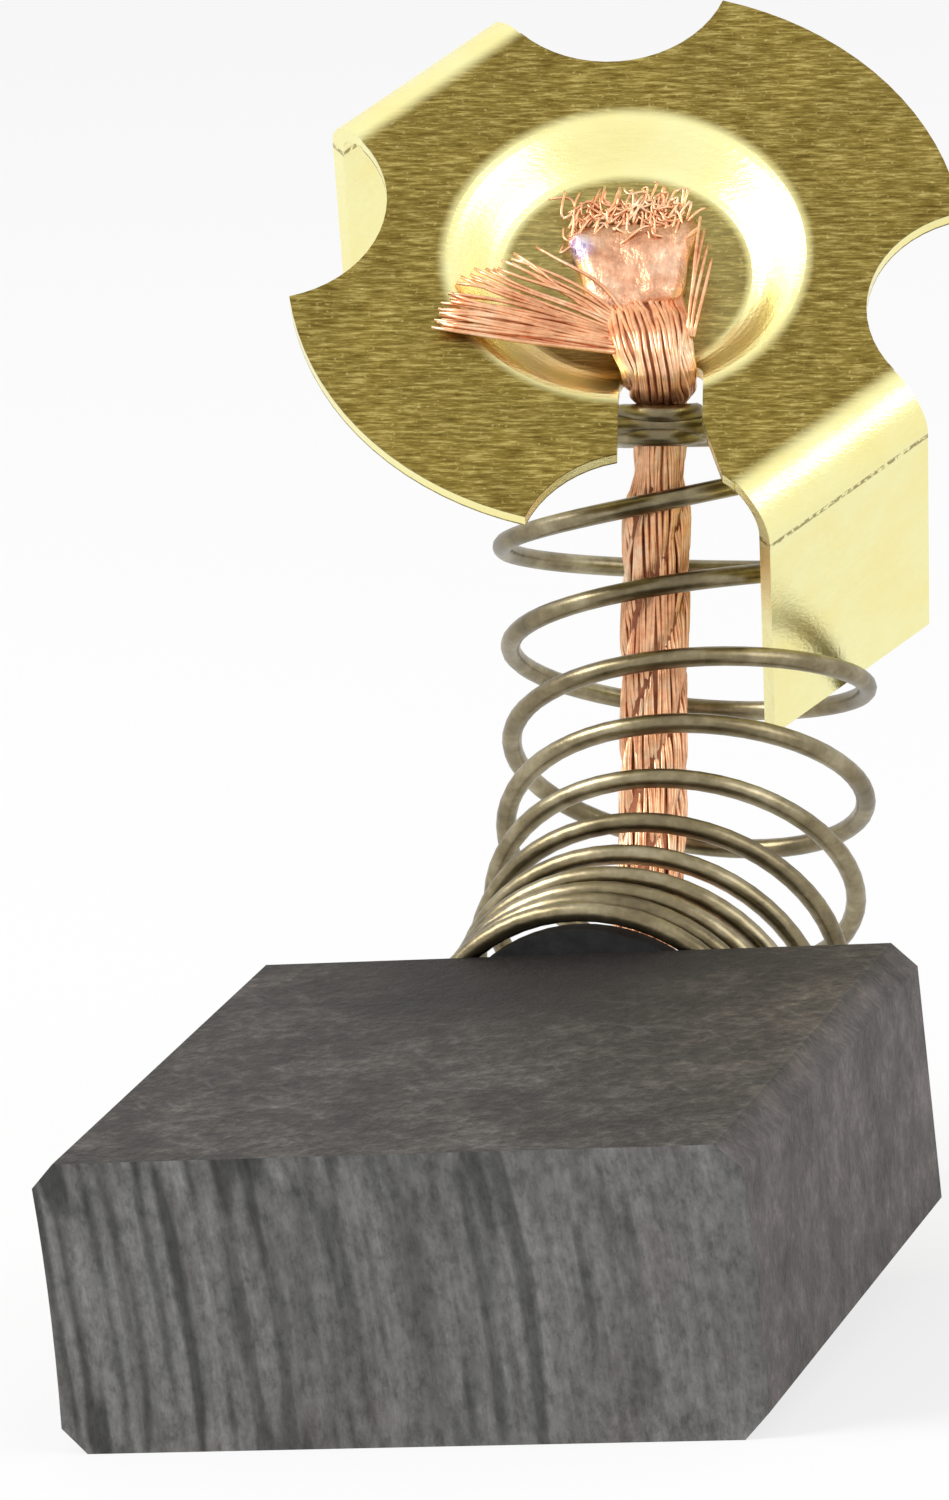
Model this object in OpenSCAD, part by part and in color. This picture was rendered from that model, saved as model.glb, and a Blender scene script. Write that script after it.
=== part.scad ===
// Carbon brush of a power tool motor: a carbon block with a copper pigtail
// tamped into its back, a coil spring round the pigtail, and a folded brass
// terminal cap welded to the pigtail's end. The spring is out of its holder
// and has bent upwards. The brush lies as it comes to rest on a table: on the
// front edge of its block and on the foot of the spring, which is wider than
// the block is thick. The origin is the middle of the block's underside.
// X runs across the block, Y from its contact face to its back, Z up.

/* [Carbon block] */
// Width of the block
block_w = 17; // [15:0.5:20]
// Thickness of the block
block_t = 7; // [6.5:0.25:8.5]
// Length of the block, from contact face to back face
block_l = 17; // [13:0.5:22]
// Chamfer along the block's long edges
edge_chamfer = 0.6; // [0.2:0.1:1]
// Depth of the wear at the back end of one upper long edge
worn_depth = 1.3; // [0.8:0.1:1.8]
// Radius of the commutator that the contact face has been ground to
commutator_r = 20; // [12:1:40]

/* [Pigtail seat] */
// Diameter of the hole that the pigtail is tamped into
seat_d = 3.4; // [2.8:0.1:4]
// Depth of that hole
seat_depth = 6; // [4:0.5:9]
// Outer diameter of the insulating washer on the back face
washer_d = 8.2; // [6:0.1:8.3]
// Thickness of the insulating washer
washer_t = 0.6; // [0.4:0.1:1]

/* [Spring] */
// Diameter of the spring's wire
wire_d = 0.5; // [0.44:0.02:0.52]
// Mean radius of the spring's turns
coil_r = 4.5; // [4.45:0.05:4.6]
// Pitch of the nearly closed turns at the foot
foot_pitch = 0.9; // [0.88:0.02:0.96]
// Pitch of the open turns
open_pitch = 2.84; // [2.78:0.02:2.9]

/* [Pigtail] */
// Diameter of the copper rope
rope_d = 1.8; // [1.4:0.1:2]
// Diameter of the rope where the spring's small turns squeeze it
waist_d = 1.4; // [1.1:0.05:1.45]
// Number of strands laid up in the rope
rope_strands = 4; // [3:1:6]
// Length of one turn of a strand round the rope
rope_lay = 10; // [7:0.5:14]

/* [Terminal cap] */
// Diameter of the cap's disc
cap_d = 17; // [16:0.25:18.5]
// Thickness of the brass sheet
sheet_t = 0.4; // [0.3:0.05:0.5]
// Diameter of the dish pressed into the disc
dish_d = 9.4; // [8.6:0.2:10]
// Depth of the dish
dish_depth = 0.9; // [0.7:0.05:1.1]
// Width of each folded leg
leg_w = 5.2; // [4:0.1:5.6]
// Straight length of each leg below its bend
leg_l = 8.1; // [6:0.1:8.6]
// Outer radius of the bend between disc and leg
bend_r = 1.3; // [0.8:0.1:1.6]
// Width of the slot that the pigtail passes through
slot_w = 2.1; // [2.1:0.05:2.4]

/* [Hidden] */
$fn = 96;

// Clearance between pieces that sit in one another
snug = 0.02;
// Length by which a cutting shape runs past the surface it cuts
past = 1;

// ---- Where the pieces meet -------------------------------------------------

// Middle of the block's back face, where pigtail and spring leave it
back = [0, block_l / 2, block_t / 2];
// Control points of the spring's bent axis, measured from the back face
axis_pts = [[0, 0, 0], [0, 3.8, 0], [0.2, 13.5, 1.1], [-0.7, 15.2, 12.45]];
// Where the spring's small turns grip the pigtail, behind the cap's slot
grip = [0.13, 11.85, 13.93];
// Control points of the pigtail's route from the back face to that grip
route_pts = [[0, 0, 0], [0, 8.05, 0], [-1.07, 11.29, 5.55], grip];
// The place in the cap's slot that the cap is set out from
cap_seat = [0.75, 10.14, 15.39];

// ---- Curves and swept shapes -----------------------------------------------

function unit(v) = v / norm(v);
function mix(a, b, f) = a + (b - a) * f;
function clamp01(f) = min(1, max(0, f));
function ease(f) = let (g = clamp01(f)) g * g * (3 - 2 * g);

// A cubic curve through its end points, and its direction
function curve(p, t) =
    pow(1 - t, 3) * p[0] + 3 * pow(1 - t, 2) * t * p[1] + 3 * (1 - t) * t * t * p[2] + t * t * t * p[3];
function curve_dir(p, t) =
    unit(pow(1 - t, 2) * (p[1] - p[0]) + 2 * (1 - t) * t * (p[2] - p[1]) + t * t * (p[3] - p[2]));

// The side and upper directions across a curve that runs along dir
function side_of(dir) = unit([1, 0, 0] - dir * dir[0]);
function upper_of(dir) = cross(side_of(dir), dir);

// A closed solid through a list of rings, each with the same number of points
module skin(rings) {
    n = len(rings[0]);
    m = len(rings);
    polyhedron(
        points = [for (ring = rings) each ring],
        faces = concat(
            [[for (j = [0 : n - 1]) j]],
            [for (i = [0 : m - 2], j = [0 : n - 1]) let (k = (j + 1) % n)
                [i * n + j, (i + 1) * n + j, (i + 1) * n + k, i * n + k]],
            [[for (j = [n - 1 : -1 : 0]) (m - 1) * n + j]]
        ),
        convexity = 10
    );
}

// ---- Carbon block ----------------------------------------------------------

// Outline of the block across its length, with its four long edges chamfered
module block_outline() {
    x = block_w / 2;
    c = edge_chamfer;
    polygon([
        [c - x, 0], [x - c, 0], [x, c], [x, block_t - c],
        [x - c, block_t], [c - x, block_t], [-x, block_t - c], [-x, c]
    ]);
}

// The wear that runs out along the upper right long edge
module worn_edge_cut() {
    run = atan2(worn_depth - edge_chamfer / 2, block_l);
    translate([block_w / 2 - edge_chamfer / 2, -block_l / 2, block_t - edge_chamfer / 2])
        rotate([0, 45, 0])
            rotate([run, 0, 0])
                translate([-block_w / 2, -past, 0])
                    cube([block_w, block_l + 4 * past, block_t]);
}

module carbon_block() {
    hollow_y = sqrt(pow(commutator_r, 2) - pow(block_t / 2, 2));
    color("dimgray")
        difference() {
            translate([0, block_l / 2, 0])
                rotate([90, 0, 0])
                    linear_extrude(block_l)
                        block_outline();
            // contact face, ground hollow by the commutator
            translate([0, -block_l / 2 - hollow_y, block_t / 2])
                rotate([0, 90, 0])
                    cylinder(r = commutator_r, h = block_w + 2 * past, center = true);
            worn_edge_cut();
            // hole for the pigtail
            translate(back + [0, past, 0])
                rotate([90, 0, 0])
                    cylinder(d = seat_d, h = seat_depth + past);
        }
}

// ---- Tamping plug ----------------------------------------------------------

// Copper powder tamped round the pigtail until it fills the hole
module tamping_plug() {
    rope_room = rope_d / 2 + snug;
    color("saddlebrown")
        translate(back)
            rotate([90, 0, 0])
                difference() {
                    cylinder(r = seat_d / 2 - snug / 2, h = seat_depth);
                    translate([0, 0, -past])
                        cylinder(r = rope_room, h = seat_depth + past - snug);
                }
}

// ---- Insulating washer -----------------------------------------------------

module insulating_washer() {
    color("black")
        translate(back)
            rotate([-90, 0, 0])
                difference() {
                    cylinder(d = washer_d, h = washer_t);
                    translate([0, 0, -past])
                        cylinder(r = rope_d / 2 + 10 * snug, h = washer_t + 2 * past);
                }
}

// ---- Coil spring -----------------------------------------------------------

// Turns are counted from the first top of the foot turn
first_turn = -0.3;
opening_turn = 4.25;
shrink_from = 10.15;
shrink_to = 11.7;
last_turn = 13.2;
// Sides of the wire, and rings along each turn
wire_sides = 8;
rings_per_turn = 20;

foot_gap = wire_d / 2 + 2 * snug;
grip_r = waist_d / 2 + wire_d / 2 + 5 * snug;
grip_pitch = wire_d + 3 * snug;

// Distance along the spring's axis at turn k, with a smooth change of pitch
function softplus(x) = ln(1 + exp(x));
function axis_distance(k) =
    foot_gap + foot_pitch * max(0, k)
    + (open_pitch - foot_pitch) * (softplus(max(0, k) - opening_turn) - softplus(-opening_turn));

// The axis as pairs of distance and curve value, and its straight end
axis_steps = 48;
axis_lengths = [
    for (i = 0, s = 0; i <= axis_steps;
        s = s + norm(curve(axis_pts, (i + 1) / axis_steps) - curve(axis_pts, i / axis_steps)), i = i + 1)
        [s, i / axis_steps]
];
axis_end = axis_lengths[axis_steps][0];
function axis_dir(s) = curve_dir(axis_pts, lookup(min(s, axis_end), axis_lengths));
function axis_at(s) =
    curve(axis_pts, lookup(min(s, axis_end), axis_lengths)) + max(0, s - axis_end) * axis_dir(axis_end);

// The small turns sit round the pigtail just below the cap, and lean back a little
grip_lean = [0, 0.14, 0];
grip_dir = unit(curve_dir(route_pts, 1) + grip_lean);
function grip_at(k) = grip + (k - (shrink_to + last_turn) / 2) * grip_pitch * grip_dir;

// Centre, direction and radius of turn k
function turn_centre(k) =
    mix(axis_at(axis_distance(min(k, shrink_to))), grip_at(max(k, shrink_to)),
        ease((k - shrink_from) / (shrink_to - shrink_from)));
function turn_dir(k) =
    unit(mix(axis_dir(axis_distance(k)), grip_dir, ease((k - shrink_from) / (shrink_to - shrink_from))));
function turn_r(k) = mix(coil_r, grip_r, ease((k - shrink_from) / (shrink_to - shrink_from)));

// A point on the wire's centre line: the helix is right handed
function wire_at(k) =
    let (dir = turn_dir(k), a = 90 - 360 * k)
    back + turn_centre(k) + turn_r(k) * (cos(a) * side_of(dir) + sin(a) * upper_of(dir));

function wire_ring(k) =
    let (
        step = 0.01,
        p = wire_at(k),
        dir = unit(wire_at(k + step) - wire_at(k - step)),
        out = unit(p - back - turn_centre(k)),
        across = unit(cross(dir, out)),
        outward = cross(across, dir)
    )
    [for (j = [0 : wire_sides - 1]) let (a = 360 * j / wire_sides)
        p + wire_d / 2 * (cos(a) * outward + sin(a) * across)];

module coil_spring() {
    color("darkkhaki")
        skin([for (i = [0 : (last_turn - first_turn) * rings_per_turn])
            wire_ring(first_turn + i / rings_per_turn)]);
}

// ---- Terminal cap ----------------------------------------------------------

// The cap's pose: tilted back, leaning sideways and turned on its own axis
cap_tilt = 38.5;
cap_lean = 16.5;
cap_turn = -31.6;
// Angle of each notch from its leg, and the notches' radius and depth
notch_angle = 38;
notch_r = 3.1;
notch_depth = 2.3;
// The slot's direction on the disc and its offset from the middle
slot_angle = -41.5;
slot_offset = 0.95;
// How far from the disc's middle the cap's seat is, along the slot
slot_seat = 4.05;
// Length of the slot's flared mouth, its flare, and how far from the disc's edge it ends
mouth_l = 3.3;
mouth_flare = 0.55;
notch_clear = 1.54;
// Width of the dish's sloping wall, of the rim round it, and the slot's bite into its floor
wall_w = 1.7;
dish_rim = 0.3;
slot_bite = 0.4;
floor_r = dish_d / 2 - wall_w;
slot_inner = floor_r - slot_bite;
// Distance from the disc's middle to where the legs' bends begin
bend_start = cap_d / 2 - bend_r;

// Brings a shape from the cap's own frame, with its dish open towards +Z, to its place
module cap_place() {
    translate(back + cap_seat)
        rotate([cap_tilt, cap_lean, 0])
            rotate([0, 0, cap_turn + slot_angle])
                translate([-slot_seat, -slot_offset, 0])
                    rotate([0, 0, -slot_angle])
                        children();
}

// Outline of the flat sheet between the two bends
module disc_outline() {
    difference() {
        intersection() {
            circle(d = cap_d);
            square([2 * bend_start, cap_d], center = true);
        }
        for (leg = [0, 180], side = [-1, 1])
            rotate(leg + side * notch_angle)
                translate([cap_d / 2 - notch_depth + notch_r, 0])
                    circle(r = notch_r);
        slot_outline();
    }
}

// The slot, round at its inner end, open at the disc's edge and flared on one side there
module slot_outline() {
    rotate(slot_angle)
        translate([slot_inner + slot_w / 2, slot_offset]) {
            circle(d = slot_w);
            translate([0, -slot_w / 2])
                square([cap_d, slot_w]);
        }
    rotate(slot_angle)
        translate([cap_d / 2, slot_offset])
            polygon([
                [-mouth_l, 0], [-mouth_l, slot_w / 2],
                [-notch_clear, slot_w / 2 + mouth_flare], [-notch_clear, 0]
            ]);
}

// Height of the dish's surface at radius r
function dish_z(r) = -dish_depth * (1 - cos(180 * clamp01((dish_d / 2 - r) / (dish_d / 2 - floor_r)))) / 2;

// The pressed dish with a narrow rim of the flat sheet round it
module dish() {
    steps = 10;
    wall = concat([for (i = [0 : steps]) mix(floor_r, dish_d / 2, i / steps)], [dish_d / 2 + dish_rim]);
    difference() {
        rotate_extrude()
            polygon(concat(
                [[0, -dish_depth - sheet_t], [0, -dish_depth]],
                [for (r = wall) [r, dish_z(r)]],
                [for (i = [len(wall) - 1 : -1 : 0]) [wall[i], dish_z(wall[i]) - sheet_t]]
            ));
        translate([0, 0, -dish_depth - sheet_t - past])
            linear_extrude(dish_depth + sheet_t + 2 * past)
                slot_outline();
    }
}

// One leg with its bend, drawn as a side view and given its width
module leg() {
    translate([0, leg_w / 2, 0])
        rotate([90, 0, 0])
            linear_extrude(leg_w)
                union() {
                    translate([bend_start, -bend_r])
                        intersection() {
                            difference() {
                                circle(r = bend_r);
                                circle(r = bend_r - sheet_t);
                            }
                            square(bend_r);
                        }
                    translate([cap_d / 2 - sheet_t, -bend_r - leg_l])
                        square([sheet_t, leg_l]);
                }
}

module terminal_cap() {
    color("gold")
        cap_place() {
            difference() {
                translate([0, 0, -sheet_t])
                    linear_extrude(sheet_t)
                        disc_outline();
                translate([0, 0, -sheet_t - past])
                    cylinder(d = dish_d, h = sheet_t + 2 * past);
            }
            dish();
            leg();
            rotate([0, 0, 180])
                leg();
        }
}

// ---- Pigtail ---------------------------------------------------------------

// The same turn of direction that cap_place makes, for single directions
function turn_x(v, a) = [v[0], v[1] * cos(a) - v[2] * sin(a), v[1] * sin(a) + v[2] * cos(a)];
function turn_y(v, a) = [v[0] * cos(a) + v[2] * sin(a), v[1], v[2] * cos(a) - v[0] * sin(a)];
function turn_z(v, a) = [v[0] * cos(a) - v[1] * sin(a), v[0] * sin(a) + v[1] * cos(a), v[2]];
function cap_dir(v) = turn_y(turn_x(turn_z(v, cap_turn + slot_angle), cap_tilt), cap_lean);

// Directions along the slot towards the dish, across it, and out of the dish
along = cap_dir([-1, 0, 0]);
across = cap_dir([0, 1, 0]);
out_of = cap_dir([0, 0, 1]);
// A point given from the disc's middle: across the slot, along it, and above the
// disc as a share of the dish's depth
function on_cap(p) =
    cap_seat + (p[0] - slot_offset) * across + (p[1] + slot_seat) * along + p[2] * dish_depth * out_of;

rope_sides = 16;
rope_rings = 34;
// Depth of the grooves between the strands, as a share of the rope's radius
groove = 0.14;

function rope_shape(a, turn) = 1 - groove * pow(abs(sin(rope_strands * (a - turn) / 2)), 4);

// One ring of the rope with half width w and half thickness h, between two directions
function rope_ring(centre, w, h, side, upper, turn, depth) =
    [for (j = [0 : rope_sides - 1])
        let (a = 360 * j / rope_sides, f = mix(1, rope_shape(a, turn), depth))
        back + centre + f * (w * cos(a) * side - h * sin(a) * upper)];

// The round rope, from the bottom of its hole to its waist in the grip
route_len = norm(grip) * 1.12;
function rope_r(t) = mix(rope_d, waist_d, ease((t - 0.89) / 0.05)) / 2;
rope_in_hole = [for (y = [-seat_depth + 3 * snug : 1 : -0.5])
    rope_ring([0, y, 0], rope_d / 2, rope_d / 2, [1, 0, 0], [0, 0, 1], 360 * y / rope_lay, 1)];
rope_free = [for (i = [0 : rope_rings])
    let (t = i / rope_rings, dir = curve_dir(route_pts, t), r = rope_r(t))
    rope_ring(curve(route_pts, t), r, r, side_of(dir), upper_of(dir), 360 * t * route_len / rope_lay, 1)];

// The rope comes up through the slot and is pressed flat on the dish's floor: each
// row gives the place across and along the slot and above the disc, the half width,
// the half thickness and the angle at which the rope rises. Heights and thicknesses
// are shares of the dish's depth.
spread = [
    [0.9, -3.36, -2.2, 0.7, 0.778, 46],
    [0.91, -3.22, -2.022, 0.7, 0.756, 52],
    [0.9, -3.18, -1.689, 0.8, 0.644, 78],
    [0.88, -3.3, -1.244, 0.9, 0.578, 96],
    [0.88, -3.37, -0.778, 0.91, 0.556, 88],
    [0.84, -3.3, -0.4, 0.96, 0.511, 58],
    [0.74, -3.05, -0.133, 1.06, 0.489, 24],
    [0.67, -2.7, -0.111, 1.1, 0.478, -12],
    [0.61, -2.3, -0.267, 1.12, 0.444, -20],
    [0.54, -1.75, -0.467, 1.14, 0.4, -16],
    [0.42, -1.2, -0.622, 1.2, 0.333, -6],
    [0.15, -0.7, -0.678, 1.5, 0.3, 0],
    [0.05, 0.1, -0.678, 1.75, 0.3, 0],
    [0.05, 0.9, -0.678, 1.75, 0.3, 0],
    [0.05, 1.4, -0.7, 1.6, 0.267, 0]
];
rope_spread = [for (row = spread)
    rope_ring(on_cap(row), row[3], row[4] * dish_depth, across, cos(row[5]) * out_of - sin(row[5]) * along,
        360 * route_len / rope_lay, clamp01(-row[1] / 4))];

// A loose strand from one place on the cap to another, arched and thinner at its tip
strand_d = 0.24;
strand_steps = 4;
module loose_strand(from, to, rise) {
    dir = unit(on_cap(to) - on_cap(from));
    side = unit(cross(dir, out_of));
    skin([for (i = [0 : strand_steps])
        let (
            f = i / strand_steps,
            c = back + on_cap(mix(from, to, f) + [0, 0, rise * 4 * f * (1 - f)]),
            r = strand_d / 2 * (1 - f / 2)
        )
        [for (j = [0 : 5]) let (a = 60 * j) c + r * (cos(a) * side + sin(a) * cross(dir, side))]]);
}

// Strands that missed the weld
module loose_strands() {
    // a bundle to one side
    for (i = [0 : 6])
        loose_strand(
            [0, 0.12 * i - 3.05, -0.06 - 0.04 * i],
            [-4.6 + 0.05 * i - 0.08 * (i % 3), 0.2 * i - 2.5, 0.11 + 0.11 * (i % 2)],
            0.11
        );
    // a thin fan above it
    for (i = [0 : 4])
        loose_strand(
            [-0.1, 0.16 * i - 2.5, -0.22 - 0.05 * i],
            [0.44 * i - 4.1, 0.25 * i - 0.75, 0.06 - 0.06 * i],
            0.17
        );
    // a short fringe beyond the weld
    for (i = [0 : 6])
        loose_strand(
            [0.42 * i - 1.2, 1.1, -0.61],
            [0.52 * i - 1.5, 2.75 - 0.07 * pow(i - 3, 2), -0.4],
            0.09
        );
    // one long strand on the other side
    loose_strand([1.5, -2.6, -0.11], [1.95, 1.4, -0.33], 0.22);
}

module pigtail() {
    color("peru")
        union() {
            skin(concat(rope_in_hole, rope_free, rope_spread));
            loose_strands();
        }
}

// ---- The brush as it lies --------------------------------------------------

// The lowest point of the spring's foot, level with the block's front edge, sets the slope
foot_y = block_l + axis_distance(0.5);
foot_z = block_t / 2 - coil_r;
foot_reach = norm([foot_y, foot_z]);
lie_slope = foot_z > wire_d / 2 ? 0 : asin(wire_d / 2 / foot_reach) - atan2(foot_z, foot_y);

module as_it_lies() {
    rotate([lie_slope, 0, 0])
        children();
}

as_it_lies() carbon_block();
as_it_lies() tamping_plug();
as_it_lies() insulating_washer();
as_it_lies() coil_spring();
as_it_lies() pigtail();
as_it_lies() terminal_cap();
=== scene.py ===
"""The looks of a carbon brush: worn carbon, stranded copper, drawn spring wire and brushed brass."""

import logging
import math
import random
from dataclasses import dataclass, field
from enum import Enum
from typing import List, Sequence, Tuple, Union

import bmesh
import bpy
from mathutils import Matrix, Vector


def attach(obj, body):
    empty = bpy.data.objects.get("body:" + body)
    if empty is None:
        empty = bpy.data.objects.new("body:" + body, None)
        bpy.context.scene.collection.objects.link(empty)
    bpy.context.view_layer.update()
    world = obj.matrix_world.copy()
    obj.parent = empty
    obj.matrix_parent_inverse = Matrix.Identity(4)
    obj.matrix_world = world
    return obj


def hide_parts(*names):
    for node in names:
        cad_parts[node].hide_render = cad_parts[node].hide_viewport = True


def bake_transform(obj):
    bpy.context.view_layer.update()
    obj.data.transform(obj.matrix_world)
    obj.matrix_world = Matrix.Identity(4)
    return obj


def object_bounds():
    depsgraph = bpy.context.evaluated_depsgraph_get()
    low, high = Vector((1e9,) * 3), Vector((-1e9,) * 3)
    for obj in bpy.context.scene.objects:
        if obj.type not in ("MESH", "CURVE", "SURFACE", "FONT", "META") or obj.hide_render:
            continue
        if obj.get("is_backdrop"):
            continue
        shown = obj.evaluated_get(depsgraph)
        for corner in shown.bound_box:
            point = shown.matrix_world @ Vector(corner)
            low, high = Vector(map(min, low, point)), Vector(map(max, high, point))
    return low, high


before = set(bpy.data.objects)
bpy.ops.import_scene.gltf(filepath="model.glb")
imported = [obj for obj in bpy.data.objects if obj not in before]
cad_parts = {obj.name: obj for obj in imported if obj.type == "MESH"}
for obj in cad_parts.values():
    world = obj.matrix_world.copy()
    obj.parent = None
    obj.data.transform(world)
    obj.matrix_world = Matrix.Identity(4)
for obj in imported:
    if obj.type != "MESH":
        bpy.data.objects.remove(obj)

CAD_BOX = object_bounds()
LOG = logging.getLogger("carbon_brush")
MM = 0.001
Colour = Tuple[float, float, float, float]
Point = Tuple[float, float, float]
Socket = bpy.types.NodeSocket
Given = Union[Socket, float, Colour]
Stops = Sequence[Tuple[float, Colour]]

UNTURNED = Matrix.Identity(3)
ORIGIN = Vector((0, 0, 0))
EVEN = (1, 1, 1)


# ---- Small sums ----


def mix(a: float, b: float, share: float) -> float:
    """Returns the value at a share of the way from a to b."""
    return a + (b - a) * share


def ease(share: float) -> float:
    """Returns a share held between 0 and 1, with smooth ends."""
    held = min(1.0, max(0.0, share))
    return held * held * (3 - 2 * held)


def softplus(x: float) -> float:
    """Returns a smooth ramp that is 0 far below zero and x far above it."""
    return math.log(1 + math.exp(x))


def grey(value: float) -> Colour:
    """Returns an opaque grey."""
    return (value, value, value, 1.0)


@dataclass(frozen=True)
class Bezier:
    """A cubic curve through its first and last points, in millimetres."""

    points: Tuple[Vector, Vector, Vector, Vector]

    def at(self, t: float) -> Vector:
        """Returns the point at t, from 0 to 1."""
        a, b, c, d = self.points
        u = 1 - t
        return u**3 * a + 3 * u * u * t * b + 3 * u * t * t * c + t**3 * d

    def direction(self, t: float) -> Vector:
        """Returns the unit direction at t."""
        a, b, c, d = self.points
        u = 1 - t
        return (u * u * (b - a) + 2 * u * t * (c - b) + t * t * (d - c)).normalized()

    def lengths(self, steps: int = 96) -> List[Tuple[float, float]]:
        """Returns pairs of distance along the curve and t, at even steps of t."""
        pairs = [(0.0, 0.0)]
        for i in range(steps):
            step = (self.at((i + 1) / steps) - self.at(i / steps)).length
            pairs.append((pairs[-1][0] + step, (i + 1) / steps))
        return pairs


def side_of(direction: Vector) -> Vector:
    """Returns the direction across a curve that lies nearest to +X."""
    x = Vector((1, 0, 0))
    return (x - direction * direction.x).normalized()


# ---- Where things are ----


@dataclass(frozen=True)
class Brush:
    """The sizes that place the dressed pieces, in millimetres, and how the brush lies on the table."""

    block_t: float = 7.0
    block_l: float = 17.0
    seat_depth: float = 6.0
    wire_d: float = 0.5
    coil_r: float = 4.5
    rope_d: float = 1.8
    waist_d: float = 1.4
    dish_depth: float = 0.9
    snug: float = 0.02
    foot_pitch: float = 0.9
    open_pitch: float = 2.84
    opening_turn: float = 4.25

    def turn_distance(self, turn: float) -> float:
        """Returns how far along its axis a turn of the spring stands."""
        k = max(0.0, turn)
        opened = softplus(k - self.opening_turn) - softplus(-self.opening_turn)
        closed = self.wire_d / 2 + 2 * self.snug + self.foot_pitch * k
        return closed + (self.open_pitch - self.foot_pitch) * opened

    @property
    def back(self) -> Vector:
        """Returns the middle of the block's back face."""
        return Vector((0, self.block_l / 2, self.block_t / 2))

    @property
    def slope(self) -> float:
        """Returns the angle at which the underside slopes, in radians."""
        foot = Vector((self.block_l + self.turn_distance(0.5), self.block_t / 2 - self.coil_r))
        return math.asin(self.wire_d / 2 / foot.length) - math.atan2(foot.y, foot.x)

    def turned(self, direction: Vector) -> Vector:
        """Returns a direction of the level brush as it is when the brush lies."""
        return Matrix.Rotation(self.slope, 3, "X") @ direction

    def placed(self, point: Vector) -> Vector:
        """Returns a point of the level brush, in millimetres, where it lies, in metres."""
        return self.turned(point) * MM


@dataclass(frozen=True)
class CapSeat:
    """The frame of the slot in the terminal cap: across it, towards the dish, and out of the dish."""

    brush: Brush
    seat: Point = (0.75, 10.14, 15.39)
    tilt: float = 38.5
    lean: float = 16.5
    turn: float = -31.6
    slot_angle: float = -41.5
    slot_offset: float = 0.95
    slot_seat: float = 4.05

    def rotation(self) -> Matrix:
        """Returns the rotation from the slot's frame to the level brush."""
        spin = Matrix.Rotation(math.radians(self.turn + self.slot_angle), 3, "Z")
        tilt = Matrix.Rotation(math.radians(self.tilt), 3, "X")
        lean = Matrix.Rotation(math.radians(self.lean), 3, "Y")
        return lean @ tilt @ spin

    def across(self) -> Vector:
        """Returns the direction across the slot."""
        return self.rotation() @ Vector((0, 1, 0))

    def along(self) -> Vector:
        """Returns the direction along the slot towards the dish."""
        return self.rotation() @ Vector((-1, 0, 0))

    def out(self) -> Vector:
        """Returns the direction out of the dish."""
        return self.rotation() @ Vector((0, 0, 1))

    def at(self, x: float, y: float, above: float) -> Vector:
        """Returns a point given from the disc's middle: x across the slot, y along it towards the dish."""
        start = self.brush.back + Vector(self.seat)
        across = (x - self.slot_offset) * self.across()
        along = (y + self.slot_seat) * self.along()
        return start + across + along + above * self.out()

    def pattern_turn(self) -> Matrix:
        """Returns the rotation from the lying brush to the cap's own frame."""
        lie = Matrix.Rotation(self.brush.slope, 3, "X")
        return (lie @ self.rotation()).inverted()


# ---- Meshes ----


def section(centre: Vector, side: Vector, upper: Vector, width: float, height: float) -> Matrix:
    """Returns the matrix that puts a unit circle across a path, as wide and high as asked."""
    ahead = side.cross(upper).normalized()
    columns = [side * width, upper * height, ahead, centre]
    rows = [[c[i] for c in columns] for i in range(3)] + [[0, 0, 0, 1]]
    return Matrix(rows)


def lying_section(
    brush: Brush, centre: Vector, side: Vector, upper: Vector, width: float, height: float
) -> Matrix:
    """Returns a section given on the level brush, in millimetres, where the brush lies, in metres."""
    return section(brush.placed(centre), brush.turned(side), brush.turned(upper), width * MM, height * MM)


def sweep(stations: Sequence[Matrix], sides: int) -> bmesh.types.BMesh:
    """Draws a circle through a row of stations and closes both ends.

    Args:
        stations: a matrix for each place of the circle.
        sides: how many sides the circle has.

    Returns:
        A closed bmesh.
    """
    bm = bmesh.new()
    bmesh.ops.create_circle(bm, cap_ends=True, segments=sides, radius=1.0, matrix=stations[0])
    edges = list(bm.edges)
    for before, after in zip(stations, stations[1:]):
        made = bmesh.ops.extrude_edge_only(bm, edges=edges)["geom"]
        verts = [e for e in made if isinstance(e, bmesh.types.BMVert)]
        edges = [e for e in made if isinstance(e, bmesh.types.BMEdge)]
        bmesh.ops.transform(bm, matrix=after @ before.inverted(), verts=verts)
    bmesh.ops.holes_fill(bm, edges=edges, sides=0)
    bmesh.ops.recalc_face_normals(bm, faces=bm.faces)
    return bm


def finish_piece(
    name: str,
    parts: Sequence[bmesh.types.BMesh],
    materials: Sequence[bpy.types.Material],
    smooth: bool = True,
) -> bpy.types.Object:
    """Joins bmeshes into one named object at the origin.

    Args:
        name: the piece's name.
        parts: bmeshes in the part's frame, in metres.
        materials: the materials of its slots.
        smooth: whether its faces shade smoothly.

    Returns:
        The linked object.
    """
    joined = bmesh.new()
    for part in parts:
        scratch = bpy.data.meshes.new("scratch")
        part.to_mesh(scratch)
        joined.from_mesh(scratch)
        part.free()
        bpy.data.meshes.remove(scratch)
    for face in joined.faces:
        face.smooth = smooth
    mesh = bpy.data.meshes.new(name)
    joined.to_mesh(mesh)
    joined.free()
    for material in materials:
        mesh.materials.append(material)
    piece = bpy.data.objects.new(name, mesh)
    bpy.context.scene.collection.objects.link(piece)
    return piece


# ---- Finishes ----


class Mixing(Enum):
    """How a colour is laid over another."""

    OVER = "MIX"
    SHADE = "MULTIPLY"
    GLOW = "SCREEN"


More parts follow.
